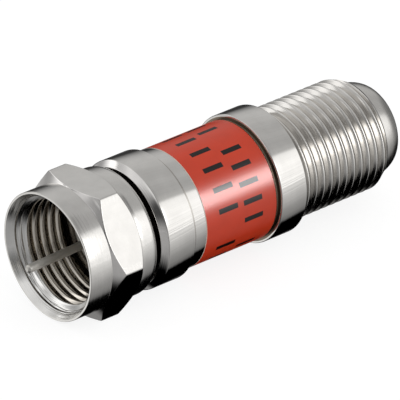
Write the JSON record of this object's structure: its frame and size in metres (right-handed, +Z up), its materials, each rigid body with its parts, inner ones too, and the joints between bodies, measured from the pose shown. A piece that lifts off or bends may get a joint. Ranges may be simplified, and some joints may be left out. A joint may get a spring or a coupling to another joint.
{
  "type": "rf attenuator",
  "caption": "Inline coaxial attenuator: captive hexagon coupling nut round a centre pin at one end, red printed sleeve on the barrel, threaded jack with a domed nose at the other.",
  "frame": {"origin": "middle of the bounding box's footprint, at the surface that the nut's lower flat rests on", "axes": "+X along the connector's axis from the pin's tip to the jack's face, +Z up, +Y across"},
  "size_m": [0.0362, 0.0126, 0.011],
  "materials": {
    "bright_nickel": "bright nickel plate over turned brass",
    "spring_steel": "spring steel strip",
    "tinned_wire": "drawn tinned wire",
    "contact_bronze": "plated spring bronze",
    "red_print": "gloss red printed film with plain black shapes",
    "white_polymer": "off-white moulded polymer",
    "board_laminate": "green laminate",
    "tinned_copper": "tinned copper foil",
    "resistor_body": "black glazed ceramic",
    "solder": "bright solder"
  },
  "bodies": {
    "attenuator_body": {"nut_retaining_ring": "spring_steel", "front_shell": "bright_nickel", "rear_shell": "bright_nickel", "label_sleeve": "red_print", "center_pin": "tinned_wire", "plug_insulator": "white_polymer", "jack_contact": "contact_bronze", "jack_insulator_front": "white_polymer", "jack_insulator_rear": "white_polymer", "circuit_board": "board_laminate", "input_track": "tinned_copper", "output_track": "tinned_copper", "ground_track_in": "tinned_copper", "ground_track_out": "tinned_copper", "series_resistor": "resistor_body", "series_cap_in": "solder", "series_cap_out": "solder", "shunt_resistor_in": "resistor_body", "shunt_in_cap_signal": "solder", "shunt_in_cap_ground": "solder", "shunt_resistor_out": "resistor_body", "shunt_out_cap_signal": "solder", "shunt_out_cap_ground": "solder", "solder_in": "solder", "solder_out": "solder", "ground_clip_in": "spring_steel", "ground_clip_out": "spring_steel"},
    "coupling_nut_body": {"coupling_nut": "bright_nickel"}
  },
  "joints": [
    {"name": "nut_spin", "type": "hinge", "parent": "attenuator_body", "child": "coupling_nut_body", "pos_m": [-0.01215, 0, 0.0055], "axis": [1, 0, 0], "continuous": true}
  ]
}
